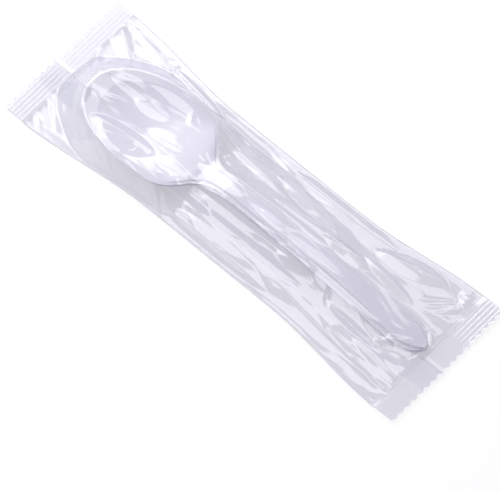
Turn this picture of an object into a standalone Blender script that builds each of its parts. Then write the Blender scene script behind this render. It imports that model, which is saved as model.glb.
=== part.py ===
"""A disposable plastic spoon sealed in a clear flow-wrap film.

Frame: metres, +Z up, origin on the table under the middle of the pack. The spoon lies bowl up with its
bowl towards -X. The pack rests on its back panel, whose seal is folded towards -Y.
"""
import math

import bmesh
import bpy
import numpy as np

MM = 0.001

# Spoon, one moulding. Lengths along it are counted from the bowl's tip.
SPOON_LENGTH = 152.0 * MM
BOWL_WIDTH = 34.9 * MM
BOWL_TIP_TO_WIDEST = 30.0 * MM
BOWL_TIP_TO_SHOULDER = 48.4 * MM       # middle of the S-curve that runs into the neck
BOWL_SHOULDER_RUN = 5.4 * MM
BOWL_DEPTH = 7.3 * MM
BOWL_DEEPEST = 25.0 * MM
BOWL_WALL = 1.1 * MM
NECK_WIDTH = 6.0 * MM
NECK_DIP = 2.6 * MM                    # how far the rim line sinks where the bowl runs into the neck
NECK_DIP_AT = 51.0 * MM
NECK_DIP_RUN = 8.0 * MM
HANDLE_WIDTH = 12.9 * MM
HANDLE_WIDEST = 140.0 * MM
HANDLE_END_RUN = 11.0 * MM             # length of the rounded handle end
HANDLE_HEIGHT = 2.3 * MM
HANDLE_WEB = 1.2 * MM
HANDLE_STEP_WIDTH = 1.7 * MM           # stepped border beside the raised top face
HANDLE_STEP_DROP = 0.8 * MM
HANDLE_RAIL = 1.1 * MM                 # side rails of the channel underneath
HANDLE_ARCH = 1.5                      # power of the curve from the neck down to the handle end

# Film, one web folded into a tube.
FILM_THICKNESS = 0.05 * MM
SEAL_GAP = 0.03 * MM                   # hairline between the sealed layers
PACK_LENGTH = 181.0 * MM
PACK_END_WIDTH = 57.0 * MM
PACK_MIDDLE_WIDTH = 48.0 * MM
SIDE_FOLD_HEIGHT = 0.45 * MM
SIDE_SLACK = 1.2 * MM                  # how far the loose film bellies up beside the spoon
FIN_WIDTH = 10.0 * MM
SEAM_OFFSET = -3.35 * MM               # the back seam lies beside the middle
CRIMP_LENGTH = 8.0 * MM
CRIMP_LIFT = 0.9 * MM
CRIMP_RISE = 1.7 * MM                  # run over which the back panel rises to the crimp
CRIMP_RIB_PITCH = 1.6 * MM
CRIMP_RIB_HEIGHT = 0.34 * MM
TOOTH_COUNT = 17
TOOTH_DEPTH = 1.1 * MM

# Fit of the spoon in the film.
FILM_CLEARANCE = 0.3 * MM
RIM_MARGIN = 1.6 * MM                  # the film leaves the rim this far outside it
SPOON_ALONG = 4.0 * MM                 # the spoon has slid towards the +X end
SPOON_ACROSS = -2.95 * MM
SPOON_TURN = math.radians(1.05)
DRAPE_RUN_ALONG = 15.0 * MM            # length over which the film falls beyond the spoon
DRAPE_RUN_ACROSS = 17.0 * MM
CLING_RUN = 3.5 * MM                   # the deepest valleys stop this far outside the rim

# How finely the surfaces are divided.
BOWL_COLUMNS = 12
RIM_COLUMNS = 12                       # columns of the upper film between the spoon's rims
SIDE_COLUMNS = 11                      # columns from a rim to the side fold
FILM_ROW_STEP = 3.7 * MM
FILM_FINE_STEP = 1.6 * MM

LAYER = FILM_THICKNESS + SEAL_GAP
SPOON_FLOOR = 3.0 * LAYER + FILM_CLEARANCE
RIM_HEIGHT = SPOON_FLOOR + BOWL_WALL + BOWL_DEPTH
SPOON_START = SPOON_ALONG - 0.5 * SPOON_LENGTH
CRIMP_START = 0.5 * PACK_LENGTH - CRIMP_LENGTH
HALF_PITCH = PACK_END_WIDTH / (2.0 * TOOTH_COUNT)

# Main folds of the upper film. Start and end are shares of the pack's half length and half width.
# Then, in millimetres: the width of the slope on the left of the line, that on its right, and the
# height of the crest. A negative height is a valley.
FOLDS = (
    ((-0.94, 0.88), (-0.65, 0.68), 4.5, 1.5, 1.4),
    ((-0.94, 0.75), (-0.80, 0.40), 1.6, 4.0, 1.3),
    ((-0.93, 0.36), (-0.83, 0.12), 1.5, 3.5, 0.9),
    ((-0.92, -0.14), (-0.81, -0.10), 3.5, 1.5, 0.8),
    ((-0.93, -0.42), (-0.76, -0.72), 1.5, 4.0, 1.2),
    ((-0.92, -0.92), (-0.72, -0.50), 4.0, 1.6, 1.3),
    ((-0.73, -0.48), (-0.50, -0.80), 1.6, 3.2, 1.2),
    ((-0.70, -0.80), (-0.50, -0.87), 2.5, 2.0, -1.0),
    ((-0.72, 0.00), (-0.48, 0.07), 2.5, 1.5, 0.5),
    ((-0.47, 0.40), (-0.36, 0.10), 1.5, 3.0, 0.5),
    ((-0.35, 0.58), (-0.21, 0.22), 2.2, 3.0, -2.2),
    ((-0.38, 0.66), (-0.20, 0.64), 1.5, 2.5, -1.2),
    ((-0.29, 0.47), (0.02, 0.36), 3.0, 1.4, 1.5),
    ((0.06, 0.24), (0.46, 0.34), 2.4, 1.3, 1.0),
    ((-0.34, -0.62), (-0.16, -0.34), 3.0, 2.0, -1.8),
    ((-0.21, -0.26), (0.18, -0.34), 1.6, 1.8, -1.0),
    ((-0.18, -0.54), (0.36, -0.58), 1.3, 3.0, 1.5),
    ((0.30, -0.57), (0.90, -0.77), 1.3, 3.0, 1.4),
    ((-0.12, -0.38), (0.34, -0.44), 1.5, 2.0, -1.1),
    ((-0.35, -0.80), (0.10, -0.85), 1.2, 2.0, 0.9),
    ((0.16, -0.72), (0.70, -0.84), 1.6, 3.0, 1.3),
    ((0.48, 0.54), (0.76, 0.76), 1.5, 4.0, 1.5),
    ((0.70, 0.46), (0.84, 0.88), 2.5, 1.2, 1.2),
    ((0.78, 0.40), (0.89, 0.70), 2.5, 1.2, 1.2),
    ((0.84, -0.22), (0.90, -0.78), 1.2, 2.6, 1.2),
    ((0.66, -0.36), (0.86, -0.62), 2.6, 1.2, 1.0),
)


def clear_scene():
    """Start from an empty scene."""
    for item in list(bpy.data.objects):
        bpy.data.objects.remove(item, do_unlink=True)


def make_material(name, colour, roughness, alpha=1.0):
    """A plain Principled material."""
    material = bpy.data.materials.new(name)
    material.use_nodes = True
    shader = material.node_tree.nodes["Principled BSDF"]
    shader.inputs["Base Color"].default_value = (*colour, 1.0)
    shader.inputs["Roughness"].default_value = roughness
    shader.inputs["Metallic"].default_value = 0.0
    shader.inputs["Alpha"].default_value = alpha
    return material


def finish_object(name, shape, crease_angle):
    """Turn a bmesh into a named, smoothly shaded object."""
    bmesh.ops.recalc_face_normals(shape, faces=shape.faces)
    mesh = bpy.data.meshes.new(name)
    shape.to_mesh(mesh)
    shape.free()
    mesh.shade_smooth()
    mesh.set_sharp_from_angle(angle=crease_angle)
    item = bpy.data.objects.new(name, mesh)
    bpy.context.collection.objects.link(item)
    return item


def smooth_step(value, low, high):
    """0 below low, 1 above high, with a soft ramp between."""
    ramp = np.clip((value - low) / (high - low), 0.0, 1.0)
    return ramp * ramp * (3.0 - 2.0 * ramp)


def handle_share(along):
    """0 in the bowl and 1 in the handle, through the S-curve of the shoulders."""
    return 0.5 * (1.0 + np.tanh((along - BOWL_TIP_TO_SHOULDER) / BOWL_SHOULDER_RUN))


def spoon_half_width(along):
    """Half of the spoon's outline: an egg for the bowl, then a taper with a rounded end."""
    forward = np.clip(1.0 - along / BOWL_TIP_TO_WIDEST, 0.0, 1.0)
    egg = 0.5 * BOWL_WIDTH * (1.0 - forward ** 2.1) ** 0.476
    taper = (along - BOWL_TIP_TO_SHOULDER) / (HANDLE_WIDEST - BOWL_TIP_TO_SHOULDER)
    straight = 0.5 * (NECK_WIDTH + (HANDLE_WIDTH - NECK_WIDTH) * np.clip(taper, 0.0, 1.0))
    end = np.clip((along - SPOON_LENGTH) / HANDLE_END_RUN + 1.0, 0.0, 1.0)
    rounded = straight * (1.0 - end ** 2.2) ** 0.6
    share = handle_share(along)
    return egg * (1.0 - share) + rounded * share


def neck_dip(along):
    """How far the rim line has sunk, in a smooth hollow round the neck's lowest place."""
    return NECK_DIP * np.exp(-((along - NECK_DIP_AT) / NECK_DIP_RUN) ** 2)


def spoon_top_height(along):
    """Height of the rim, and of the handle's top face as it arches down to its end."""
    travel = np.clip((along - BOWL_TIP_TO_SHOULDER) / (SPOON_LENGTH - BOWL_TIP_TO_SHOULDER), 0.0, 1.0)
    arch = (RIM_HEIGHT - SPOON_FLOOR - HANDLE_HEIGHT) * travel ** HANDLE_ARCH
    return RIM_HEIGHT - arch - neck_dip(along)


def bowl_hollow(along):
    """Depth of the bowl's floor on its centre line under a level rim, as a share of the deepest."""
    towards_tip = np.clip((BOWL_DEEPEST - along) / BOWL_DEEPEST, 0.0, 1.0)
    back_run = BOWL_TIP_TO_SHOULDER + BOWL_SHOULDER_RUN - BOWL_DEEPEST
    towards_neck = np.clip((along - BOWL_DEEPEST) / back_run, 0.0, 1.0)
    return (1.0 - towards_tip ** 2.3) * (1.0 - towards_neck ** 2.3)


def spoon_section(along):
    """One closed ring of the spoon: the top from -Y to +Y, then the underside back again."""
    half = float(spoon_half_width(along))
    top = float(spoon_top_height(along))
    share = float(handle_share(along))
    hollow = max(BOWL_DEPTH * float(bowl_hollow(along)) - float(neck_dip(along)), 0.0)
    border = min(HANDLE_STEP_WIDTH, 0.35 * half)
    rail = min(HANDLE_RAIL, 0.25 * half)

    inner = np.linspace(-(half - border), half - border, BOWL_COLUMNS + 1)
    top_y = np.concatenate(([-half], inner, [half]))
    bowl_top = top - hollow * (1.0 - np.abs(top_y / half) ** 2.2)
    step = np.where(np.abs(top_y) > half - 0.5 * border, HANDLE_STEP_DROP, 0.0)
    top_z = bowl_top * (1.0 - share) + (top - step) * share

    under = np.linspace(half - rail, -(half - rail), BOWL_COLUMNS - 1)
    under_y = np.concatenate(([half], under, [-half]))
    bowl_under = top - hollow * (1.0 - np.abs(under_y / half) ** 2.2) - BOWL_WALL
    channel = np.where(np.abs(under_y) > half - 0.5 * rail, HANDLE_HEIGHT, HANDLE_WEB)
    under_z = bowl_under * (1.0 - share) + (top - channel) * share
    return list(zip(np.concatenate((top_y, under_y)), np.concatenate((top_z, under_z))))


def spoon_stations():
    """Places of the sections, close together at the tip, through the shoulders and at the handle end."""
    edge = 0.03 * MM
    shoulder_start = BOWL_TIP_TO_SHOULDER - 1.7 * BOWL_SHOULDER_RUN
    shoulder_end = BOWL_TIP_TO_SHOULDER + 3.2 * BOWL_SHOULDER_RUN
    handle_end_start = SPOON_LENGTH - 1.1 * HANDLE_END_RUN
    quarter = np.linspace(0.0, 0.5 * math.pi, 18)
    bowl = edge + (shoulder_start - edge) * (1.0 - np.cos(quarter))
    shoulder = np.linspace(shoulder_start, shoulder_end, 19)
    handle = np.linspace(shoulder_end, handle_end_start, 12)
    end = handle_end_start + (SPOON_LENGTH - edge - handle_end_start) * np.sin(quarter[::2])
    end = np.append(end, SPOON_LENGTH - edge)
    return np.concatenate((bowl[:-1], shoulder[:-1], handle[:-1], end))


def build_spoon():
    """Loft the sections from the bowl's tip to the handle's end."""
    shape = bmesh.new()
    rings = []
    for along in spoon_stations():
        rings.append([shape.verts.new((along, y, z)) for y, z in spoon_section(along)])
    size = len(rings[0])
    for first, second in zip(rings[:-1], rings[1:]):
        for k in range(size):
            following = (k + 1) % size
            shape.faces.new((first[k], first[following], second[following], second[k]))
    shape.faces.new(rings[0])
    shape.faces.new(rings[-1])
    spoon = finish_object("spoon", shape, math.radians(35.0))
    spoon.location = (SPOON_START, SPOON_ACROSS, 0.0)
    spoon.rotation_euler = (0.0, 0.0, SPOON_TURN)
    spoon.data.materials.append(make_material("white_polystyrene", (0.86, 0.85, 0.90), 0.28))


def half_width(x):
    """Half width of the pack, drawn in by the spoon's height between the flat ends."""
    near_end = smooth_step(np.abs(x), 0.35 * CRIMP_START, CRIMP_START)
    return 0.5 * (PACK_MIDDLE_WIDTH + (PACK_END_WIDTH - PACK_MIDDLE_WIDTH) * near_end)


def over_spoon(x, y, run_along, run_across):
    """Height of film laid over the spoon: level over its outline, then falling evenly over a run."""
    highest = np.zeros_like(x)
    for along in np.linspace(0.0, SPOON_LENGTH, 140):
        centre_x = SPOON_START + along * math.cos(SPOON_TURN)
        centre_y = SPOON_ACROSS + along * math.sin(SPOON_TURN)
        half = float(spoon_half_width(along))
        room = float(half_width(np.array(centre_x))) - abs(centre_y) - half - RIM_MARGIN
        outside = np.maximum(np.abs(y - centre_y) - half, 0.0)
        away = np.hypot(x - centre_x, outside)
        beyond = np.maximum(away - RIM_MARGIN, 0.0) / np.maximum(away, 1e-9)
        fall_along = beyond * (x - centre_x) / run_along
        fall_across = beyond * outside / min(run_across, room)
        height = float(spoon_top_height(along)) + FILM_CLEARANCE + 0.5 * FILM_THICKNESS
        highest = np.maximum(highest, height * (1.0 - np.hypot(fall_along, fall_across)))
    return highest


def fold_height(x, y):
    """Sum of the folds: each a crest with a slope on either side, fading out at its two ends."""
    scale = np.array((0.5 * PACK_LENGTH, 0.5 * PACK_END_WIDTH))
    total = np.zeros_like(x)
    for start, end, left_mm, right_mm, rise_mm in FOLDS:
        start = np.array(start) * scale
        run = np.array(end) * scale - start
        length = np.hypot(*run)
        along = ((x - start[0]) * run[0] + (y - start[1]) * run[1]) / length ** 2
        aside = ((y - start[1]) * run[0] - (x - start[0]) * run[1]) / length
        spread = np.where(aside > 0.0, left_mm, right_mm) * MM
        fade = np.clip(4.0 * along * (1.0 - along), 0.0, 1.0) ** 0.5
        total += rise_mm * MM * fade * np.clip(1.0 - np.abs(aside) / spread, 0.0, 1.0)
    return total


def crimp_share(x):
    """1 on the pressed ends and 0 where the tube is open."""
    return smooth_step(np.abs(x), CRIMP_START - CRIMP_RISE, CRIMP_START)


def back_height(x):
    """Height of the lowest layer: flat on the table, lifted and ribbed at the crimped ends."""
    into = np.abs(x) - CRIMP_START
    phase = np.abs((into / CRIMP_RIB_PITCH) % 1.0 - 0.5) * 4.0 - 1.0
    ribs = 0.5 * CRIMP_RIB_HEIGHT * phase * (into > 0.0)
    return 0.5 * FILM_THICKNESS + CRIMP_LIFT * crimp_share(x) + ribs


def layers_below(y):
    """Layers of the folded fin seal under the back panel, with a short ramp beside it."""
    low_side = (y - (SEAM_OFFSET - FIN_WIDTH - HALF_PITCH)) / HALF_PITCH
    high_side = (SEAM_OFFSET + HALF_PITCH - y) / HALF_PITCH
    return 2.0 * np.clip(np.minimum(low_side, high_side), 0.0, 1.0)


def upper_height(x, y):
    """Height of the upper film over the back panel, the spoon and its own folds."""
    inwards = 1.0 - np.abs(y) / half_width(x)
    stack = back_height(x) + (1.0 + layers_below(y)) * LAYER
    inside = np.clip(inwards * 6.0, 0.0, 1.0)
    draped = over_spoon(x, y, DRAPE_RUN_ALONG, DRAPE_RUN_ACROSS)
    clinging = over_spoon(x, y, CLING_RUN, CLING_RUN)
    belly = stack + SIDE_FOLD_HEIGHT + SIDE_SLACK * inside
    folded = np.maximum(draped, belly) + fold_height(x, y) * inside
    raised = np.maximum(np.maximum(folded, clinging) - stack, SIDE_FOLD_HEIGHT)
    at_side = 1.0 - smooth_step(inwards, 0.0, 0.08)
    opened = raised + (SIDE_FOLD_HEIGHT - raised) * at_side
    return stack + opened * (1.0 - crimp_share(x))


def upper_columns(x):
    """Places across the upper film: one column runs along each rim of the spoon."""
    along = np.clip(x - SPOON_START, HANDLE_END_RUN, SPOON_LENGTH - HANDLE_END_RUN)
    edge = float(half_width(x))
    even = (RIM_COLUMNS / (RIM_COLUMNS + 2.0 * SIDE_COLUMNS)) * edge
    tip_free = smooth_step(x, -CRIMP_START, SPOON_START + HANDLE_END_RUN)
    end_free = 1.0 - smooth_step(x, SPOON_START + SPOON_LENGTH - HANDLE_END_RUN, CRIMP_START)
    fitted = tip_free * end_free
    rim = even + (spoon_half_width(along) + RIM_MARGIN - even) * fitted
    centre = (SPOON_ACROSS + along * math.sin(SPOON_TURN)) * fitted
    low = np.linspace(-edge, centre - rim, SIDE_COLUMNS + 1)
    middle = np.linspace(centre - rim, centre + rim, RIM_COLUMNS + 1)
    high = np.linspace(centre + rim, edge, SIDE_COLUMNS + 1)
    return np.concatenate((low, middle[1:-1], high))


def tooth_columns(start, end):
    """Places from start to end with one at every tip and root of the teeth between them."""
    low, high = min(start, end), max(start, end)
    marks = np.arange(-TOOTH_COUNT, TOOTH_COUNT + 1) * HALF_PITCH
    between = marks[(marks > low + 0.1 * HALF_PITCH) & (marks < high - 0.1 * HALF_PITCH)]
    places = np.concatenate(([low], between, [high]))
    return places if start < end else places[::-1]


def web_path(x, fine):
    """The web's runs in one cross-section, in order, each as heights over places across.

    It starts at the free edge of the fin seal, turns under the back panel, goes up the -Y side, over
    the spoon, down the +Y side and back under to the other free edge.
    """
    edge = float(half_width(x))
    free_edge = SEAM_OFFSET - FIN_WIDTH
    flat = tooth_columns if fine else (lambda start, end: np.array((start, end)))
    inner_fin = flat(free_edge, SEAM_OFFSET)
    over_fin = flat(SEAM_OFFSET, free_edge)
    ramp = flat(free_edge, free_edge - HALF_PITCH)
    low_panel = flat(free_edge - HALF_PITCH, -edge)
    upper = tooth_columns(-edge, edge) if fine else upper_columns(x)
    high_panel = flat(edge, SEAM_OFFSET)
    outer_fin = flat(SEAM_OFFSET, free_edge)
    base = float(back_height(np.array(x)))
    runs = [(inner_fin, np.full_like(inner_fin, base + LAYER))]
    for y in (over_fin, ramp, low_panel):
        runs.append((y, base + layers_below(y) * LAYER))
    runs.append((upper, upper_height(np.full_like(upper, x), upper)))
    for y in (high_panel, outer_fin):
        runs.append((y, np.full_like(y, base)))
    return runs


def tooth_cut(y):
    """How far the zig-zag knife cuts back from the outermost line at y."""
    return TOOTH_DEPTH * np.abs(2.0 * ((0.5 * y / HALF_PITCH + 0.5) % 1.0) - 1.0)


def film_rows():
    """Row places from one crimp to the other, leaving out the two cut edges."""
    ribs_end = 0.5 * PACK_LENGTH - TOOTH_DEPTH - 0.4 * CRIMP_RIB_PITCH
    ribs = np.arange(CRIMP_START, ribs_end, 0.5 * CRIMP_RIB_PITCH)
    rise = np.linspace(CRIMP_START - 1.4 * CRIMP_RISE, CRIMP_START, 4)
    tip_start = SPOON_START - 2.0 * FILM_FINE_STEP
    tip_end = SPOON_START + HANDLE_END_RUN
    before = np.arange(-rise[0], tip_start, FILM_ROW_STEP)
    tip = np.arange(tip_start, tip_end, FILM_FINE_STEP)
    after = np.linspace(tip_end, rise[0], int((rise[0] - tip_end) / FILM_ROW_STEP) + 1)
    right = np.concatenate((rise[1:-1], ribs))
    return np.concatenate((-right[::-1], before, tip, after, right))


def web_row(shape, x, fine, cut_side=0.0):
    """Vertices of one row, run by run; at a cut edge they follow the zig-zag."""
    runs = []
    for y, z in web_path(x, fine):
        places = np.full_like(y, x)
        if cut_side:
            places = cut_side * (0.5 * PACK_LENGTH - tooth_cut(y))
        points = list(zip(places, y, z))
        last = runs[-1][-1] if runs else None
        if last is None:
            runs.append([shape.verts.new(point) for point in points])
            continue
        if abs(last.co[2] - z[0]) < 0.1 * SEAL_GAP:
            first = last
        else:
            first = shape.verts.new(points[0])
            runs.append([last, first])
        runs.append([first] + [shape.verts.new(point) for point in points[1:]])
    return runs


def join_rows(shape, first, second):
    """Faces between two rows, with fans where one row is divided more finely."""
    for lower, upper in zip(first, second):
        if len(lower) == len(upper):
            for k in range(len(lower) - 1):
                shape.faces.new((lower[k], lower[k + 1], upper[k + 1], upper[k]))
            continue
        fine, plain = (lower, upper) if len(lower) > len(upper) else (upper, lower)
        middle = len(fine) // 2
        for k in range(len(fine) - 1):
            corner = plain[0] if k < middle else plain[-1]
            shape.faces.new((corner, fine[k], fine[k + 1]))
        shape.faces.new((plain[0], fine[middle], plain[-1]))


def build_film():
    """Fold the web round the spoon row by row, then give it its thickness."""
    shape = bmesh.new()
    root = 0.5 * PACK_LENGTH - TOOTH_DEPTH - 0.2 * MM
    rows = [web_row(shape, -root, True, cut_side=-1.0), web_row(shape, -root, True)]
    for x in film_rows():
        rows.append(web_row(shape, float(x), False))
    rows.append(web_row(shape, root, True))
    rows.append(web_row(shape, root, True, cut_side=1.0))
    for first, second in zip(rows[:-1], rows[1:]):
        join_rows(shape, first, second)
    film = finish_object("film_wrapper", shape, math.radians(50.0))
    wall = film.modifiers.new("film_thickness", 'SOLIDIFY')
    wall.thickness = FILM_THICKNESS
    wall.offset = 0.0
    wall.use_even_offset = True
    wall.use_quality_normals = True
    film.data.materials.append(make_material("clear_film", (0.88, 0.88, 0.93), 0.12, alpha=0.35))


clear_scene()
build_spoon()
build_film()
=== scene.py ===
"""Looks of a disposable plastic spoon sealed in a clear, crinkled flow-wrap film.

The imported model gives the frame. Here the moulded spoon gets its soft edges and gloss, and the film is
one thin web, folded round the spoon, with its folds, gathers, ribbed crimps and zig-zag cut ends.
Metres, +Z up, bowl towards -X, back seal folded towards -Y.
"""
import math

import bpy
import numpy as np
from mathutils import Matrix, Vector


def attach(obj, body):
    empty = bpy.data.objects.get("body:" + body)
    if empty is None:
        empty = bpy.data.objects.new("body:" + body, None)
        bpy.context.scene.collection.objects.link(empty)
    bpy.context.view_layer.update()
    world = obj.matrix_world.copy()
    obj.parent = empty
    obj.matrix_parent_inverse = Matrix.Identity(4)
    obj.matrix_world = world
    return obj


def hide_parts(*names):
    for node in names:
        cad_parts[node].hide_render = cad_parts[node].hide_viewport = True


MM = 0.001

# The spoon, as in the model. Lengths along it are counted from the bowl's tip.
SPOON_LENGTH = 152.0 * MM
BOWL_WIDTH = 34.9 * MM
BOWL_TIP_TO_WIDEST = 30.0 * MM
BOWL_TIP_TO_SHOULDER = 48.4 * MM
BOWL_SHOULDER_RUN = 5.4 * MM
BOWL_DEPTH = 7.3 * MM
BOWL_DEEPEST = 25.0 * MM
BOWL_WALL = 1.1 * MM
BOWL_EGG_POWERS = (2.1, 0.476)         # outline from the widest place to the tip
BOWL_SECTION_POWER = 2.2               # hollow from the centre line to a rim
BOWL_HOLLOW_POWER = 2.3                # hollow from its deepest place to either end
SHOULDER_REACH = (1.9, 3.2)            # shoulder runs before and after the shoulders that bend most
NECK_WIDTH = 6.0 * MM
NECK_DIP = 2.6 * MM
NECK_DIP_AT = 51.0 * MM
NECK_DIP_RUN = 8.0 * MM
HANDLE_WIDTH = 12.9 * MM
HANDLE_WIDEST = 140.0 * MM
HANDLE_END_RUN = 11.0 * MM
HANDLE_END_POWERS = (2.2, 0.6)
HANDLE_HEIGHT = 2.3 * MM
HANDLE_WEB = 1.2 * MM
HANDLE_STEP_WIDTH = 1.7 * MM
HANDLE_STEP_DROP = 0.8 * MM
HANDLE_RAIL = 1.1 * MM
HANDLE_ARCH = 1.5
EDGE_SUPPORT = 0.28 * MM               # rows beside each edge keep its rounding this small
BORDER_LIMIT = 0.35                    # most that a border, a rail and the rows beside an edge may take
RAIL_LIMIT = 0.25                      # up of the half width, where the spoon is narrow
EDGE_LIMIT = 0.06

# Divisions of the spoon: sections in the bowl, in the shoulders and in the handle, how far the outermost
# ones are from the spoon's ends, how many end runs before its end the last ones begin, and points across.
BOWL_SECTIONS = 23
SHOULDER_SECTIONS = 25
HANDLE_SECTIONS = 17
FIRST_SECTION = 0.06 * MM
END_SECTIONS_FROM = 1.2
TOP_POINTS = 15
UNDER_POINTS = 11

# The film: the model's web, drawn tighter at the sides and with finer ribs.
FILM_THICKNESS = 0.05 * MM
SEAL_GAP = 0.03 * MM
PACK_LENGTH = 181.0 * MM
PACK_END_WIDTH = 57.0 * MM
PACK_MIDDLE_WIDTH = 48.0 * MM
WIDENS_FROM = 0.35                     # share of the way from the middle to a crimp
SIDE_FOLD_HEIGHT = 0.45 * MM
SIDE_SLACK = 0.4 * MM
FIN_WIDTH = 10.0 * MM
SEAM_OFFSET = -3.35 * MM
CRIMP_LENGTH = 8.0 * MM
CRIMP_LIFT = 0.9 * MM
CRIMP_RISE = 1.7 * MM
CRIMP_RIB_PITCH = 1.6 * MM
CRIMP_RIB_HEIGHT = 0.13 * MM
CRIMP_RIB_START = (-0.2, 0.3)          # the first rib grows between these, in pitches past the crimp's edge
CRIMP_FAINT = 0.2                      # share of the ribs' height left where an end is pressed least
CRIMP_PRESSED = (4.0 * MM, 14.0 * MM)  # beside the middle, where the ribs begin to grow and are full
CRIMP_FUSED = 0.25                     # how far the panels are fused in a crimp: 0 not at all, 1 wholly
FIN_TOP_FUSED = 0.6                    # the same for the fin where it lies against the back panel
TOOTH_COUNT = 17
TOOTH_DEPTH = 1.1 * MM

# How the spoon lies in the film.
FILM_CLEARANCE = 0.3 * MM
RIM_MARGIN = 0.5 * MM
SPOON_ALONG = 4.0 * MM
SPOON_ACROSS = -2.95 * MM
SPOON_TURN = math.radians(1.05)
DRAPE_RUN_ALONG = 12.0 * MM
DRAPE_RUN_ACROSS = 18.5 * MM
BOWL_RUN_ACROSS = 7.0 * MM             # the film falls more steeply beside the bowl
HANDLE_RUN_GAIN = 1.5                  # growth of that run for each length behind the shoulders
CONES = 200                            # places along the spoon that hold the film up
CONE_SPACING = 1.4                     # power that sets them closer together towards the bowl's tip
CLING_RUN = 2.5 * MM
BOWL_SAG = 1.5 * MM                    # the film hangs this far into the bowl
BOWL_SAG_AT = 28.0 * MM
BOWL_SAG_REACH = (21.0 * MM, 15.0 * MM)
TAUT_FOLDS = 0.35                      # share of a fold's height left where the spoon holds the film taut
CALM_OVER_BOWL = 0.75                  # share of the crinkles that is pulled flat over the bowl
SIDE_EASE = 6.0                        # folds reach full height a sixth of the half width inwards
SIDE_CLOSING = 0.06                    # share of the half width in which the film closes at its side
LEAST_OPENING = 0.6 * SIDE_FOLD_HEIGHT
GATHER_HEIGHT = 0.12 * MM
GATHER_PITCH = 4.6 * MM
GATHER_REACH = 6.5 * MM
GATHER_SPREAD = 0.35                   # widening of the pleats over a crimp's length inwards
GATHER_UNEVEN = (0.22, 3.1 * MM)       # share of a pitch that the pleats stray by, and over what run
GATHER_START = (0.6, 0.15)             # start of the pleats at the left end and at the right end
GATHER_FADE = 2.0 * MM                 # the pleats are full this far from the crimp
FOLD_TAPER = 0.6                       # power of a fold's narrowing: under 1 it stays wide for longer

LAYER = FILM_THICKNESS + SEAL_GAP
SPOON_FLOOR = 3.0 * LAYER + FILM_CLEARANCE
RIM_HEIGHT = SPOON_FLOOR + BOWL_WALL + BOWL_DEPTH
SPOON_START = SPOON_ALONG - 0.5 * SPOON_LENGTH
CRIMP_START = 0.5 * PACK_LENGTH - CRIMP_LENGTH
HALF_PITCH = PACK_END_WIDTH / (2.0 * TOOTH_COUNT)

# Divisions of the film: columns of the upper film, of the fin for each half tooth and of the back panel
# on either side of it, rows between the crimps, rows in each crimp.
UPPER_COLUMNS = 13 * TOOTH_COUNT
FIN_COLUMNS = 2.0
LOW_PANEL_COLUMNS = 18
HIGH_PANEL_COLUMNS = 38
OPEN_ROWS = 236
CRIMP_ROWS = 36

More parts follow.
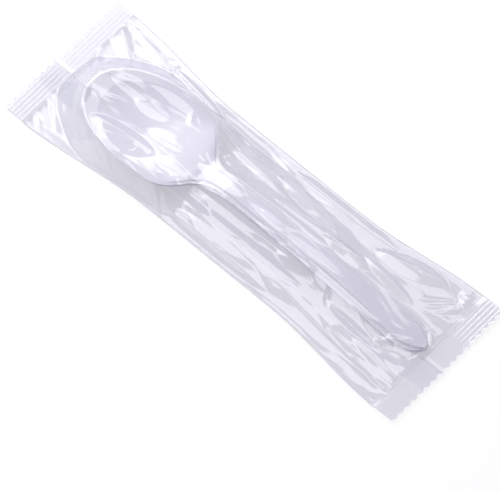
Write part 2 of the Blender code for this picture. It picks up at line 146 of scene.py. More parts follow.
# Folds of the upper film, in millimetres: start x and y, end x and y, the width of the slope on the left
# of the line, that on its right, and the height of the crest. A negative height is a valley.
FOLDS = (
    # left end
    (-86.9, 26.0, -58.1, 21.2, 3.0, 2.2, 0.8),
    (-86.1, 24.4, -70.3, 14.1, 2.5, 5.0, 1.3),
    (-84.7, 13.4, -77.1, 3.2, 2.0, 3.2, 0.8),
    (-83.3, -8.5, -73.0, -18.1, 3.0, 1.5, 0.6),
    (-63.9, -28.6, -44.7, -23.1, 3.0, 1.5, -0.9),
    (-56.6, 24.4, -55.2, 19.6, 0.9, 1.2, -0.7),
    # over the bowl
    (-75.2, 9.9, -73.1, -4.5, 1.8, 3.0, 0.7),
    (-73.4, -3.1, -68.3, -15.5, 1.8, 3.0, 0.7),
    (-66.5, -13.6, -45.0, -23.4, 0.8, 1.4, -0.8),
    (-67.8, 2.1, -52.0, 4.2, 5.0, 2.9, 0.75),
    (-56.8, 1.1, -42.4, 3.5, 4.0, 3.0, 0.75),
    (-63.5, -13.4, -37.0, -9.6, 3.4, 7.4, 1.8),
    (-66.0, -6.0, -57.0, -1.0, 1.5, 2.5, 0.5),
    (-45.1, -4.4, -29.3, -2.3, 4.0, 2.3, 0.55),
    (-36.2, -11.6, -21.8, -9.9, 4.0, 2.8, 0.65),
    (-49.6, -19.4, -43.4, -22.5, 0.7, 1.5, 0.7),
    (-44.5, -22.1, -30.8, -24.5, 0.7, 1.5, 0.7),
    (-72.0, -19.0, -60.0, -25.0, 2.5, 1.0, 0.6),
    (-82.0, -14.0, -70.0, -24.5, 4.0, 1.2, 0.5),
    (-44.0, -15.2, -43.4, -11.2, 0.7, 0.7, -0.45),
    (-38.3, 12.1, -35.5, 5.9, 1.4, 1.0, 0.3),
    # behind the handle
    (-28.5, 13.3, 6.5, 9.2, 6.0, 2.2, 1.4),
    (4.7, 5.5, 43.8, 8.9, 3.0, 1.2, 0.8),
    (8.7, 3.5, 32.0, 3.5, 2.0, 1.2, 0.55),
    (26.5, 7.8, 46.4, 7.1, 3.0, 3.6, 1.5),
    (-3.7, 14.6, 28.6, 11.2, 4.0, 2.6, 1.4),
    (-30.4, 13.8, -16.7, 12.1, 0.9, 1.5, -1.0),
    (-33.0, 14.8, -19.5, 1.2, 2.6, 2.6, -3.6),
    (-57.2, 22.6, -29.8, 18.8, 2.0, 1.5, 1.0),
    (-35.3, 19.9, -1.0, 18.8, 3.0, 1.5, -0.9),
    (0.7, 20.6, 54.9, 22.0, 4.0, 5.0, 0.8),
    (41.6, 11.3, 66.3, 8.5, 2.0, 3.0, 0.9),
    (-54.1, 16.4, -32.8, 17.8, 1.5, 1.5, 0.7),
    # on the handle
    (-24.0, -2.0, -2.0, -1.0, 2.6, 3.4, 0.7),
    (-0.8, -2.0, 18.7, -2.0, 2.0, 1.5, 0.45),
    (15.0, -2.4, 45.5, -0.6, 2.0, 1.2, 0.4),
    (19.1, -4.1, 65.8, -4.4, 1.3, 2.4, 0.75),
    # in front of the handle
    (-22.0, -9.2, 24.0, -7.8, 2.1, 2.8, -0.65),
    (-16.0, -13.0, 34.0, -12.6, 1.9, 3.4, -0.6),
    (-24.0, -20.0, 24.0, -20.6, 4.2, 3.0, 1.5),
    (26.0, -16.2, 70.0, -21.2, 2.6, 1.0, 0.6),
    (50.0, -17.3, 86.0, -19.0, 8.0, 2.5, 1.1),
    (63.0, -19.7, 84.9, -21.7, 2.0, 1.2, 0.7),
    (17.9, -6.6, 34.4, -5.6, 2.0, 4.8, 1.2),
    (32.0, -5.9, 35.4, -9.3, 0.8, 0.9, -0.8),
    (40.9, -6.9, 45.0, -12.4, 0.9, 1.1, -0.9),
    (45.3, -11.3, 68.0, -12.7, 2.0, 1.6, 0.7),
    (-30.1, -15.1, -21.2, -24.0, 1.8, 1.0, -1.0),
    (-24.6, -11.7, -7.5, -13.1, 2.0, 2.2, 0.8),
    # right end
    (42.6, 15.8, 69.3, 23.0, 4.4, 4.6, 2.5),
    (65.7, 11.2, 75.3, 20.8, 1.2, 1.8, 0.7),
    (69.5, 10.5, 77.7, 20.8, 1.2, 1.8, 0.7),
    (73.5, 11.3, 79.7, 21.6, 1.2, 1.8, 0.7),
    (78.6, 19.6, 78.2, 27.9, 4.6, 1.2, 0.9),
    (64.5, -12.3, 75.5, -1.4, 2.2, 1.2, 0.7),
    (59.4, -15.1, 84.1, -17.5, 2.0, 1.8, 0.7),
    (77.4, 5.0, 84.2, -1.8, 0.8, 0.9, 1.1),
    (78.8, -8.0, 84.6, -0.5, 0.9, 0.8, 1.1),
    (56.5, -7.0, 73.6, -9.1, 2.4, 2.4, -0.8),
)

# Crinkles: direction that each wave runs in, in degrees, its pitch and rise in millimetres, and its start.
CRINKLES = (
    (84.0, 11.5, 0.16, 0.1), (97.0, 8.3, 0.10, 0.55), (78.0, 6.1, 0.05, 0.3),
    (110.0, 4.7, 0.03, 0.8), (35.0, 16.0, 0.05, 0.4), (151.0, 13.0, 0.04, 0.65),
)

# Light: the room's level in the middle and its change towards +X. Then each soft box: its place, the
# direction that its width runs in, its width and height in metres, its radiance and its colour.
ROOM_LEVEL = 0.56
ROOM_CHANGE = -0.13
SOFT_BOXES = (
    ("left_soft_box", (-0.39, 0.08, 0.34), (0.0, 1.0, 0.0), 0.80, 0.42, 1.62, "FFFDFE"),
    ("high_soft_box", (-0.18, -0.10, 0.55), (1.0, 0.0, 0.0), 0.70, 0.33, 1.95, "FFFDFF"),
    ("back_soft_box", (-0.20, 0.42, 0.46), (1.0, 0.0, 0.0), 0.70, 0.30, 1.6, "FFFDFF"),
    ("low_soft_box", (-0.14, -0.60, 0.13), (1.0, 0.0, 0.0), 0.70, 0.24, 0.8, "FCFAFF"),
)
TABLE_REACH = 2.5
TABLE_LEVEL = -0.15 * MM
TABLE_GLOW = 0.62                      # share of plain white in the table, for what sees it directly

# Camera: direction and framing of the photograph, through a long lens.
VIEW_AZIMUTH = math.radians(42.47)
VIEW_ELEVATION = math.radians(61.9)
VIEW_AIM = Vector((8.5 * MM, -11.0 * MM, 0.0))
VIEW_WIDTH = 171.5 * MM
VIEW_LENS = 700.0
SENSOR_WIDTH = 36.0


def linear(hex_colour):
    """sRGB hex value as linear red, green, blue and full alpha."""
    levels = [int(hex_colour[k:k + 2], 16) / 255.0 for k in (0, 2, 4)]
    return [c / 12.92 if c <= 0.04045 else ((c + 0.055) / 1.055) ** 2.4 for c in levels] + [1.0]


def smooth_step(value, low, high):
    """0 below low, 1 above high, with a soft ramp between."""
    ramp = np.clip((value - low) / (high - low), 0.0, 1.0)
    return ramp * ramp * (3.0 - 2.0 * ramp)


def grid_faces(rows, columns, closed=False):
    """Quads of a grid of rows by columns; a closed grid joins its last column to its first."""
    k = np.arange(columns if closed else columns - 1)
    r = np.arange(rows - 1)[:, None] * columns
    following = (k + 1) % columns
    quads = np.stack((r + k, r + following, r + columns + following, r + columns + k), axis=-1)
    return quads.reshape(-1, 4)


def piece_from_grid(name, points, quads, extra_faces=()):
    """A smoothly shaded object at the origin from an array of points and its faces."""
    mesh = bpy.data.meshes.new(name)
    faces = quads.tolist() + [list(face) for face in extra_faces]
    mesh.from_pydata(points.reshape(-1, 3).tolist(), [], faces)
    mesh.shade_smooth()
    piece = bpy.data.objects.new(name, mesh)
    bpy.context.scene.collection.objects.link(piece)
    return piece


def handle_share(along):
    """0 in the bowl and 1 in the handle: a tanh step centred on the shoulders."""
    return 0.5 * (1.0 + np.tanh((along - BOWL_TIP_TO_SHOULDER) / BOWL_SHOULDER_RUN))


def spoon_half_width(along):
    """Half outline: a superellipse egg for the bowl, then a straight taper with a rounded end."""
    forward = np.clip(1.0 - along / BOWL_TIP_TO_WIDEST, 0.0, 1.0)
    egg = 0.5 * BOWL_WIDTH * (1.0 - forward ** BOWL_EGG_POWERS[0]) ** BOWL_EGG_POWERS[1]
    taper = (along - BOWL_TIP_TO_SHOULDER) / (HANDLE_WIDEST - BOWL_TIP_TO_SHOULDER)
    straight = 0.5 * (NECK_WIDTH + (HANDLE_WIDTH - NECK_WIDTH) * np.clip(taper, 0.0, 1.0))
    end = np.clip((along - SPOON_LENGTH) / HANDLE_END_RUN + 1.0, 0.0, 1.0)
    rounded = straight * (1.0 - end ** HANDLE_END_POWERS[0]) ** HANDLE_END_POWERS[1]
    share = handle_share(along)
    return egg * (1.0 - share) + rounded * share


def neck_dip(along):
    """How far the rim line has sunk: a bell curve centred on the neck's lowest place."""
    return NECK_DIP * np.exp(-((along - NECK_DIP_AT) / NECK_DIP_RUN) ** 2)


def spoon_top_height(along):
    """Rim height in the bowl, then a power curve down to the handle's end, less the neck's dip."""
    travel = np.clip((along - BOWL_TIP_TO_SHOULDER) / (SPOON_LENGTH - BOWL_TIP_TO_SHOULDER), 0.0, 1.0)
    arch = (RIM_HEIGHT - SPOON_FLOOR - HANDLE_HEIGHT) * travel ** HANDLE_ARCH
    return RIM_HEIGHT - arch - neck_dip(along)


def bowl_hollow(along):
    """Depth on the centre line under a level rim, as a share of the deepest: one minus a power."""
    towards_tip = np.clip((BOWL_DEEPEST - along) / BOWL_DEEPEST, 0.0, 1.0)
    back_run = BOWL_TIP_TO_SHOULDER + BOWL_SHOULDER_RUN - BOWL_DEEPEST
    towards_neck = np.clip((along - BOWL_DEEPEST) / back_run, 0.0, 1.0)
    return (1.0 - towards_tip ** BOWL_HOLLOW_POWER) * (1.0 - towards_neck ** BOWL_HOLLOW_POWER)


def spoon_stations():
    """Places of the sections along the spoon, close together at both ends and in the shoulders."""
    first = FIRST_SECTION
    last = SPOON_LENGTH - FIRST_SECTION
    shoulder_start = BOWL_TIP_TO_SHOULDER - SHOULDER_REACH[0] * BOWL_SHOULDER_RUN
    shoulder_end = BOWL_TIP_TO_SHOULDER + SHOULDER_REACH[1] * BOWL_SHOULDER_RUN
    handle_end_start = SPOON_LENGTH - END_SECTIONS_FROM * HANDLE_END_RUN
    quarter = np.linspace(0.0, 0.5 * math.pi, BOWL_SECTIONS)
    bowl = first + (shoulder_start - first) * (1.0 - np.cos(quarter))
    shoulder = np.linspace(shoulder_start, shoulder_end, SHOULDER_SECTIONS)
    handle = np.linspace(shoulder_end, handle_end_start, HANDLE_SECTIONS)
    end = handle_end_start + (last - handle_end_start) * np.sin(quarter[1::2])
    return np.concatenate((bowl[:-1], shoulder[:-1], handle, end, [last]))


def build_spoon():
    """The moulded spoon: sections carried along its length, with its edges softly rounded.

    In each section the top runs from rim to rim. In the bowl it is a power curve of the hollow's
    depth; in the handle it is a raised face with a step down to a narrow border. The underside is the
    same curve lowered by the wall in the bowl, and a shallow channel between two rails in the handle.
    """
    along = spoon_stations()[:, None]
    half = spoon_half_width(along)
    top = spoon_top_height(along)
    share = handle_share(along)
    hollow = np.maximum(BOWL_DEPTH * bowl_hollow(along) - neck_dip(along), 0.0)
    border = np.minimum(HANDLE_STEP_WIDTH, BORDER_LIMIT * half)
    rail = np.minimum(HANDLE_RAIL, RAIL_LIMIT * half)
    support = np.minimum(EDGE_SUPPORT, EDGE_LIMIT * half)

    inner = np.linspace(-1.0, 1.0, TOP_POINTS)[None, :] * (half - border - support)
    top_left = np.concatenate((-half, -half + support, -half + border - support, -half + border), axis=1)
    top_y = np.concatenate((top_left, inner, -top_left[:, ::-1]), axis=1)
    inwards = half - np.abs(top_y)
    step = np.clip((border - inwards) / (support * 1.001), 0.0, 1.0) * HANDLE_STEP_DROP
    bowl_top = top - hollow * (1.0 - np.abs(top_y / half) ** BOWL_SECTION_POWER)
    top_z = bowl_top * (1.0 - share) + (top - step) * share

    under = np.linspace(1.0, -1.0, UNDER_POINTS)[None, :] * (half - rail - support)
    side_right = np.concatenate((half, half - support, half - rail + support, half - rail), axis=1)
    under_y = np.concatenate((side_right, under, -side_right[:, ::-1]), axis=1)
    bowl_under = top - hollow * (1.0 - np.abs(under_y / half) ** BOWL_SECTION_POWER) - BOWL_WALL
    recess = np.clip((half - np.abs(under_y) - rail + support) / support, 0.0, 1.0)
    channel = HANDLE_HEIGHT - (HANDLE_HEIGHT - HANDLE_WEB) * recess
    under_z = bowl_under * (1.0 - share) + (top - channel) * share

    side_top = top_z[:, -1:] - support
    side_low = under_z[:, :1] + support
    ring_y = np.concatenate((top_y, half, half, under_y, -half, -half), axis=1)
    ring_z = np.concatenate((top_z, side_top, side_low, under_z, side_low, side_top), axis=1)
    along = np.broadcast_to(along, ring_y.shape)
    x = SPOON_START + along * math.cos(SPOON_TURN) - ring_y * math.sin(SPOON_TURN)
    y = SPOON_ACROSS + along * math.sin(SPOON_TURN) + ring_y * math.cos(SPOON_TURN)
    points = np.stack((x, y, ring_z), axis=-1)
    rows, columns = ring_y.shape
    quads = grid_faces(rows, columns, closed=True)[:, ::-1]
    first = range(columns)
    last = range(rows * columns - 1, (rows - 1) * columns - 1, -1)
    spoon = piece_from_grid("moulded_spoon", points, quads, (first, last))
    smoothing = spoon.modifiers.new("soft_edges", 'SUBSURF')
    smoothing.levels = 2
    smoothing.render_levels = 2
    return spoon


def half_width(x):
    """Half width of the pack, drawn in by the spoon's height between the flat ends."""
    near_end = smooth_step(np.abs(x), WIDENS_FROM * CRIMP_START, CRIMP_START)
    return 0.5 * (PACK_MIDDLE_WIDTH + (PACK_END_WIDTH - PACK_MIDDLE_WIDTH) * near_end)


def over_spoon(x, y, run_along, run_across):
    """Height of film laid over the spoon: the highest of one cone for each place along it.

    Each cone is level over the spoon's width there and falls evenly to nothing over a run.
    """
    highest = np.zeros_like(x)
    for along in SPOON_LENGTH * np.linspace(0.0, 1.0, CONES) ** CONE_SPACING:
        centre_x = SPOON_START + along * math.cos(SPOON_TURN)
        centre_y = SPOON_ACROSS + along * math.sin(SPOON_TURN)
        half = float(spoon_half_width(along))
        room = float(half_width(np.array(centre_x))) - abs(centre_y) - half - RIM_MARGIN
        behind = max(along - BOWL_TIP_TO_SHOULDER, 0.0)
        fall_run = min(run_across, room, BOWL_RUN_ACROSS + HANDLE_RUN_GAIN * behind)
        outside = np.maximum(np.abs(y - centre_y) - half, 0.0)
        away = np.hypot(x - centre_x, outside)
        beyond = np.maximum(away - RIM_MARGIN, 0.0) / np.maximum(away, 1e-9)
        fall_along = beyond * (x - centre_x) / run_along
        fall_across = beyond * outside / fall_run
        height = float(spoon_top_height(along)) + FILM_CLEARANCE + 0.5 * FILM_THICKNESS
        highest = np.maximum(highest, height * (1.0 - np.hypot(fall_along, fall_across)))
    return highest


def fold_height(x, y):
    """Sum of the folds: each a crest between two even slopes that narrows to nothing at both ends."""
    total = np.zeros_like(x)
    for start_x, start_y, end_x, end_y, left, right, rise in np.array(FOLDS) * MM:
        run_x, run_y = end_x - start_x, end_y - start_y
        length = math.hypot(run_x, run_y)
        along = ((x - start_x) * run_x + (y - start_y) * run_y) / length ** 2
        aside = ((y - start_y) * run_x - (x - start_x) * run_y) / length
        taper = np.clip(4.0 * along * (1.0 - along), 0.0, 1.0) ** FOLD_TAPER
        total += rise * np.maximum(taper - np.abs(aside) / np.where(aside > 0.0, left, right), 0.0)
    return total


def crumple_height(x, y):
    """Crinkles left by handling: sums of triangle waves along bent lines, so they meet in flat facets.

    The waves run mostly across the pack, so the facets are long and lie along it. Two sines bend the
    lines each way.
    """
    bend_x = x + 2.6 * MM * np.sin(y / (6.1 * MM) + 0.7)
    bend_x += 1.4 * MM * np.sin(x / (9.0 * MM) + y / (4.3 * MM))
    bend_y = y + 1.7 * MM * np.sin(x / (11.0 * MM) + 1.9)
    bend_y += 0.9 * MM * np.sin(x / (4.7 * MM) - y / (7.0 * MM))
    total = np.zeros_like(x)
    for angle, pitch_mm, rise_mm, start in CRINKLES:
        turn = math.radians(angle)
        phase = (bend_x * math.cos(turn) + bend_y * math.sin(turn)) / (pitch_mm * MM) + start
        total += rise_mm * MM * (np.abs(phase % 1.0 - 0.5) * 4.0 - 1.0)
    return total


def over_bowl(x, y):
    """1 over the middle of the bowl, falling as a paraboloid to 0 at its rim."""
    centre = SPOON_START + BOWL_SAG_AT
    along = (x - centre) / BOWL_SAG_REACH[0]
    aside = (y - SPOON_ACROSS) / BOWL_SAG_REACH[1]
    return np.clip(1.0 - along ** 2 - aside ** 2, 0.0, 1.0)


def gather_height(x, y):
    """Short pleats that run out of each crimp: triangle waves across the pack, dying away inwards."""
    inwards = np.maximum(CRIMP_START - np.abs(x), 0.0)
    fan = y / (1.0 + GATHER_SPREAD * inwards / CRIMP_LENGTH)
    stray = GATHER_UNEVEN[0] * np.sin(fan / GATHER_UNEVEN[1])
    phase = fan / GATHER_PITCH + stray + np.where(x > 0.0, GATHER_START[1], GATHER_START[0])
    pleat = np.abs(phase % 1.0 - 0.5) * 4.0 - 1.0
    fading = np.exp(-inwards / GATHER_REACH)
    return GATHER_HEIGHT * pleat * fading * smooth_step(inwards, 0.0, GATHER_FADE)


def crimp_share(x):
    """1 on the pressed ends and 0 where the tube is open."""
    return smooth_step(np.abs(x), CRIMP_START - CRIMP_RISE, CRIMP_START)


def back_height(x, y):
    """Height of the lowest layer: flat on the table, lifted and ribbed at the crimped ends.

    The ribs are a cosine along the pack, pressed deeper towards one side of each end.
    """
    into = np.abs(x) - CRIMP_START
    ribs = 0.5 * CRIMP_RIB_HEIGHT * np.cos(2.0 * math.pi * into / CRIMP_RIB_PITCH)
    rib_start, rib_full = CRIMP_RIB_START
    faded = smooth_step(into, rib_start * CRIMP_RIB_PITCH, rib_full * CRIMP_RIB_PITCH)
    deeper = smooth_step(y * np.sign(x), *CRIMP_PRESSED)
    pressed = CRIMP_FAINT + (1.0 - CRIMP_FAINT) * deeper
    return 0.5 * FILM_THICKNESS + CRIMP_LIFT * crimp_share(x) + ribs * faded * pressed


def layers_below(y):
    """Layers of the folded fin seal under the back panel, with a short ramp beside it."""
    low_side = (y - (SEAM_OFFSET - FIN_WIDTH - HALF_PITCH)) / HALF_PITCH
    high_side = (SEAM_OFFSET + HALF_PITCH - y) / HALF_PITCH
    return 2.0 * np.clip(np.minimum(low_side, high_side), 0.0, 1.0)


def upper_height(x, y):
    """Height of the upper film: the drape over the spoon, plus folds, crinkles and gathers.

    It never comes nearer to the spoon than its clearance, and it closes down to the back panel at the
    side folds and in the crimps.
    """
    inwards = 1.0 - np.abs(y) / half_width(x)
    stack = back_height(x, y) + (1.0 + layers_below(y)) * LAYER
    inside = np.clip(inwards * SIDE_EASE, 0.0, 1.0)
    draped = over_spoon(x, y, DRAPE_RUN_ALONG, DRAPE_RUN_ACROSS)
    clinging = over_spoon(x, y, CLING_RUN, CLING_RUN)
    belly = stack + SIDE_FOLD_HEIGHT + SIDE_SLACK * inside
    sagging = over_bowl(x, y)
    crinkles = crumple_height(x, y) * (1.0 - CALM_OVER_BOWL * sagging)
    loose = fold_height(x, y) + crinkles + gather_height(x, y)
    folded = np.maximum(draped, belly) + loose * inside
    taut = clinging + TAUT_FOLDS * np.maximum(loose, 0.0)
    raised = np.maximum(np.maximum(folded, taut) - stack, LEAST_OPENING)
    at_side = 1.0 - smooth_step(inwards, 0.0, SIDE_CLOSING)
    opened = raised - BOWL_SAG * sagging + (SIDE_FOLD_HEIGHT - raised) * at_side
    return stack + opened * (1.0 - crimp_share(x))


def tooth_cut(y):
    """How far the zig-zag knife cuts back from the outermost line at y: a triangle wave."""
    return TOOTH_DEPTH * np.abs(2.0 * ((0.5 * y / HALF_PITCH + 0.5) % 1.0) - 1.0)


def run_columns(start, end):
    """Places of the columns from start to end of a run of the fin or of the ramp beside it."""
    count = max(int(round(abs(end - start) / HALF_PITCH * FIN_COLUMNS)), 1)
    return np.linspace(start, end, count + 1)


def build_film():
    """The web as one grid: rows along the pack, columns round the tube from fin edge to fin edge.

    A row starts at the free edge of the fin seal, turns under the back panel, goes up the -Y side,
    over the spoon, down the +Y side and back under to the other free edge. The last rows at each end
    follow the zig-zag cut.
    """
    open_rows = np.linspace(-CRIMP_START, CRIMP_START, OPEN_ROWS)
    crimp_rows = np.linspace(CRIMP_START, 0.5 * PACK_LENGTH, CRIMP_ROWS)[1:]
    x = np.concatenate((-crimp_rows[::-1], open_rows, crimp_rows))[:, None]
    edge = half_width(x)
    free_edge = SEAM_OFFSET - FIN_WIDTH
    ramp_edge = free_edge - HALF_PITCH
    fin = run_columns(free_edge, SEAM_OFFSET)[None, :]
    ramp = run_columns(free_edge, ramp_edge)[None, 1:]
    low_panel = ramp_edge - (edge + ramp_edge) * np.linspace(0.0, 1.0, LOW_PANEL_COLUMNS)[None, 1:]
    upper = np.linspace(-1.0, 1.0, UPPER_COLUMNS + 1)[None, :] * edge
    high_panel = edge + (SEAM_OFFSET - edge) * np.linspace(0.0, 1.0, HIGH_PANEL_COLUMNS)[None, :]

    # Across each run: y, layers below it (none given for the upper film), and whether it is fused.
    runs = (
        (fin, 1.0, 1.0), (fin[:, ::-1], 2.0, FIN_TOP_FUSED), (ramp, layers_below(ramp), 0.0),
        (low_panel, 0.0, 0.0), (upper, None, 0.0), (high_panel, 0.0, 0.0), (fin[:, -2::-1], 0.0, 1.0),
    )
    parts = []
    for y, layers, fused in runs:
        y = np.broadcast_to(y, (len(x), y.shape[1]))
        along = np.broadcast_to(x, y.shape)
        z = upper_height(along, y) if layers is None else back_height(along, y) + layers * LAYER
        parts.append(np.stack((y, z, np.maximum(fused, CRIMP_FUSED * crimp_share(along))), axis=-1))
    y, z, fused = np.moveaxis(np.concatenate(parts, axis=1), -1, 0)
    rim = smooth_step(np.abs(x), 0.5 * PACK_LENGTH - 2.0 * TOOTH_DEPTH, 0.5 * PACK_LENGTH)
    points = np.stack((x - np.sign(x) * tooth_cut(y) * rim, y, z), axis=-1)
    film = piece_from_grid("flow_wrap_film", points, grid_faces(*y.shape))
    seal = film.data.attributes.new("fused", 'FLOAT', 'POINT')
    seal.data.foreach_set("value", fused.astype(np.float32).ravel())
    return film


def add_node(tree, kind, links=None, **settings):
    """A node of a kind, with its sockets set by name or index and linked from other sockets."""
    node = tree.nodes.new(kind)
    for name, value in settings.items():
        setattr(node, name, value)
    for socket, value in (links or {}).items():
        if isinstance(value, bpy.types.NodeSocket):
            tree.links.new(value, node.inputs[socket])
        else:
            node.inputs[socket].default_value = value
    return node


def new_finish(name):
    """An empty node material with its output; gives the material, its tree and the output node."""
    material = bpy.data.materials.new(name)
    material.use_nodes = True
    tree = material.node_tree
    tree.nodes.clear()
    output = tree.nodes.new("ShaderNodeOutputMaterial")
    return material, tree, output


def moulded_polystyrene():
    """Injection moulded white polystyrene: soft gloss, a faint flow mottle and fine mould texture."""
    material, tree, output = new_finish("moulded_white_polystyrene")
    place = add_node(tree, "ShaderNodeTexCoord").outputs["Object"]
    # Flow mottle: cloudy patches about 12 mm wide, a shade lighter or darker.
    flow = add_node(tree, "ShaderNodeTexNoise", {"Vector": place, "Scale": 80.0, "Detail": 3.0})
    tone = add_node(tree, "ShaderNodeMix", {
        0: flow.outputs["Fac"], 6: linear("EDECEF"), 7: linear("F4F3F6")}, data_type='RGBA')
    # Mould texture: grains of about 0.4 mm, hardly felt, that break up the gloss.
    grain = add_node(tree, "ShaderNodeTexNoise", {"Vector": place, "Scale": 2500.0, "Detail": 2.0})
    relief = add_node(tree, "ShaderNodeBump", {"Height": grain.outputs["Fac"], "Strength": 0.12,
                                               "Distance": 0.02 * MM})
    shader = add_node(tree, "ShaderNodeBsdfPrincipled", {
        "Base Color": tone.outputs[2], "Roughness": 0.24, "IOR": 1.59, "Normal": relief.outputs["Normal"],
        "Subsurface Weight": 0.12, "Subsurface Radius": (0.8, 0.8, 0.9), "Subsurface Scale": 1.5 * MM})
    tree.links.new(shader.outputs["BSDF"], output.inputs["Surface"])
    return material


def clear_film():
    """Cast polypropylene film: clear, a little hazy, with sharp highlights on every facet."""
    material, tree, output = new_finish("cast_polypropylene_film")
    place = add_node(tree, "ShaderNodeTexCoord").outputs["Object"]
    # Fine crinkle: cells about 5 mm long and 2.4 mm wide on waves of 6 mm, too shallow for the mesh.
    stretched = add_node(tree, "ShaderNodeMapping", {"Vector": place, "Scale": (0.45, 1.0, 1.0)})
    cells = add_node(tree, "ShaderNodeTexVoronoi", {"Vector": stretched.outputs["Vector"], "Scale": 420.0},
                     feature='F1')
    soft = add_node(tree, "ShaderNodeTexNoise", {"Vector": stretched.outputs["Vector"], "Scale": 160.0,
                                                 "Detail": 3.0})
    both = add_node(tree, "ShaderNodeMath", {0: cells.outputs["Distance"], 1: 0.35, 2: soft.outputs["Fac"]},
                    operation='MULTIPLY_ADD')
    relief = add_node(tree, "ShaderNodeBump", {"Height": both.outputs[0], "Strength": 0.05,
                                               "Distance": 0.12 * MM})
    normal = relief.outputs["Normal"]
    slant = add_node(tree, "ShaderNodeLayerWeight", {"Blend": 0.5, "Normal": normal}).outputs["Facing"]
    # Where layers are fused there is no air between them, so they reflect and scatter far less.
    fused = add_node(tree, "ShaderNodeAttribute", attribute_name="fused").outputs["Fac"]
    lone = add_node(tree, "ShaderNodeMath", {0: fused, 1: -0.97, 2: 1.0},
                    operation='MULTIPLY_ADD').outputs[0]
    # Haze: light scattered in the film, more of it the longer the way through.
    longer = add_node(tree, "ShaderNodeMath", {0: slant, 1: 2.0}, operation='POWER').outputs[0]
    share = add_node(tree, "ShaderNodeMath", {0: longer, 1: 0.9, 2: 0.15},
                     operation='MULTIPLY_ADD').outputs[0]
    haze_share = add_node(tree, "ShaderNodeMath", {0: share, 1: lone}, operation='MULTIPLY').outputs[0]
    clear = add_node(tree, "ShaderNodeBsdfTransparent", {"Color": linear("FCFCFE")})
    haze = add_node(tree, "ShaderNodeBsdfPrincipled", {
        "Base Color": linear("B0AEC0"), "Roughness": 0.4, "IOR": 1.49, "Normal": normal})
    body = add_node(tree, "ShaderNodeMixShader", {0: haze_share, 1: clear.outputs[0], 2: haze.outputs[0]})
    gloss = add_node(tree, "ShaderNodeBsdfAnisotropic", {"Color": (1.0, 1.0, 1.0, 1.0), "Roughness": 0.1,
                                                         "Normal": normal})
    # Both faces reflect: 9 percent looked at squarely and more at a glance, from either side.
    steep = add_node(tree, "ShaderNodeMath", {0: slant, 1: 5.0}, operation='POWER').outputs[0]
    mirror = add_node(tree, "ShaderNodeMath", {0: steep, 1: 0.9, 2: 0.09},
                      operation='MULTIPLY_ADD').outputs[0]
    mirror_share = add_node(tree, "ShaderNodeMath", {0: mirror, 1: lone}, operation='MULTIPLY').outputs[0]
    film = add_node(tree, "ShaderNodeMixShader", {0: mirror_share, 1: body.outputs[0], 2: gloss.outputs[0]})
    tree.links.new(film.outputs[0], output.inputs["Surface"])
    return material


def white_table():
    """Matt white table: seen as plain white, but it keeps the soft shadow of the pack."""
    material, tree, output = new_finish("white_table")
    rays = add_node(tree, "ShaderNodeLightPath")
    seen = add_node(tree, "ShaderNodeMath", {0: rays.outputs["Is Camera Ray"],
                                             1: rays.outputs["Is Glossy Ray"]}, operation='MAXIMUM')
    either = add_node(tree, "ShaderNodeMath", {0: seen.outputs[0], 1: rays.outputs["Is Transmission Ray"]},
                      operation='MAXIMUM')
    share = add_node(tree, "ShaderNodeMath", {0: either.outputs[0], 1: TABLE_GLOW}, operation='MULTIPLY')
    matt = add_node(tree, "ShaderNodeBsdfDiffuse", {"Color": linear("FDFDFD")})
    glow = add_node(tree, "ShaderNodeEmission", {"Color": (1.0, 1.0, 1.0, 1.0), "Strength": 1.0})
    mixed = add_node(tree, "ShaderNodeMixShader", {
        0: share.outputs[0], 1: matt.outputs[0], 2: glow.outputs[0]})
    tree.links.new(mixed.outputs[0], output.inputs["Surface"])
    return material


def build_table():
    """A wide floor just under the pack."""
    low, high = -TABLE_REACH, TABLE_REACH
    corners = ((low, low, TABLE_LEVEL), (high, low, TABLE_LEVEL),
               (high, high, TABLE_LEVEL), (low, high, TABLE_LEVEL))
    points = np.array(corners)
    table = piece_from_grid("table", points, np.array(((0, 1, 2, 3),)))
    table.data.materials.append(white_table())


def add_soft_box(name, place, sideways, width, height, brightness, colour):
    """A soft box at a place, turned towards the pack, its width along the sideways direction.

    Its brightness is the radiance of its face, so a larger box gives more light.
    """
    lamp = bpy.data.lights.new(name, 'AREA')
    lamp.shape = 'RECTANGLE'
    lamp.size = width
    lamp.size_y = height
    lamp.energy = brightness * math.pi * width * height
    lamp.color = linear(colour)[:3]
    item = bpy.data.objects.new(name, lamp)
    bpy.context.scene.collection.objects.link(item)
    away = Vector(place).normalized()
    across = (Vector(sideways) - away * away.dot(Vector(sideways))).normalized()
    turn = Matrix((across, away.cross(across), away)).transposed()
    item.matrix_world = Matrix.Translation(place) @ turn.to_4x4()


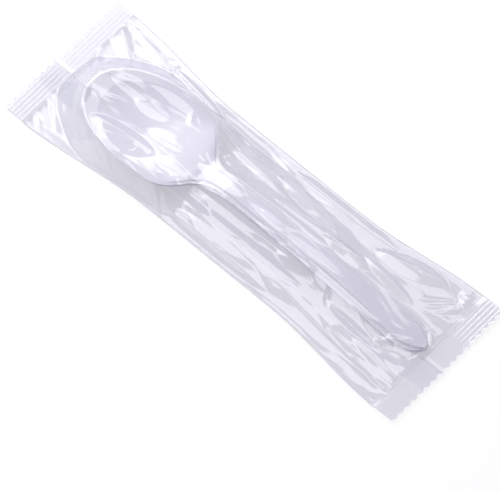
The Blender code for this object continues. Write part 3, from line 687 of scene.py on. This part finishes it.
def light_studio():
    """A pale room and four soft boxes: left, high in front, behind, and low in front.

    Level film mirrors the left box only at the pack's left end. Slopes that face left mirror it
    everywhere. Slopes of 8 to 23 degrees that face the front mirror the high box, those that face
    the back the one behind, and steep walls that face the front the dim low one.
    """
    world = bpy.data.worlds.new("studio_room")
    bpy.context.scene.world = world
    world.use_nodes = True
    tree = world.node_tree
    tree.nodes.clear()
    rays = add_node(tree, "ShaderNodeLightPath")
    # The room is lighter on the left than on the right.
    towards = add_node(tree, "ShaderNodeSeparateXYZ", {
        0: add_node(tree, "ShaderNodeTexCoord").outputs["Generated"]}).outputs["X"]
    level = add_node(tree, "ShaderNodeMath", {0: towards, 1: ROOM_CHANGE, 2: ROOM_LEVEL},
                     operation='MULTIPLY_ADD')
    room = add_node(tree, "ShaderNodeBackground", {"Color": linear("E1E0EC"), "Strength": level.outputs[0]})
    backdrop = add_node(tree, "ShaderNodeBackground", {"Color": (1.0, 1.0, 1.0, 1.0), "Strength": 1.0})
    mixed = add_node(tree, "ShaderNodeMixShader", {0: rays.outputs["Is Camera Ray"], 1: room.outputs[0],
                                                   2: backdrop.outputs[0]})
    add_node(tree, "ShaderNodeOutputWorld", {"Surface": mixed.outputs[0]})
    for soft_box in SOFT_BOXES:
        add_soft_box(*soft_box)


def place_camera():
    """The camera looks down at the table plane from the photograph's direction."""
    back = Vector((
        math.sin(VIEW_AZIMUTH) * math.cos(VIEW_ELEVATION),
        -math.cos(VIEW_AZIMUTH) * math.cos(VIEW_ELEVATION),
        math.sin(VIEW_ELEVATION),
    ))
    lens = bpy.data.cameras.new("camera")
    lens.lens = VIEW_LENS
    lens.sensor_width = SENSOR_WIDTH
    camera = bpy.data.objects.new("camera", lens)
    bpy.context.scene.collection.objects.link(camera)
    camera.location = VIEW_AIM + back * (VIEW_WIDTH * VIEW_LENS / SENSOR_WIDTH)
    camera.rotation_euler = back.to_track_quat('Z', 'Y').to_euler()
    bpy.context.scene.camera = camera


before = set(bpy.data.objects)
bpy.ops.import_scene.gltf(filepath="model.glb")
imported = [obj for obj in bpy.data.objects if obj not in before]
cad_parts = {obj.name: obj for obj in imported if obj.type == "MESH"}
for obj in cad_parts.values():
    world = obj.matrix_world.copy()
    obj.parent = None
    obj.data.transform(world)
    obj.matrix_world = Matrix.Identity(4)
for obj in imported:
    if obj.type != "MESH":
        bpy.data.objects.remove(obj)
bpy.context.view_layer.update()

place_camera()
light_studio()
build_table()

spoon = build_spoon()
spoon.data.materials.append(moulded_polystyrene())
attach(spoon, "root")
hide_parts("spoon")

film = build_film()
film.data.materials.append(clear_film())
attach(film, "root")
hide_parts("film_wrapper")

bpy.context.scene.view_settings.view_transform = 'Standard'
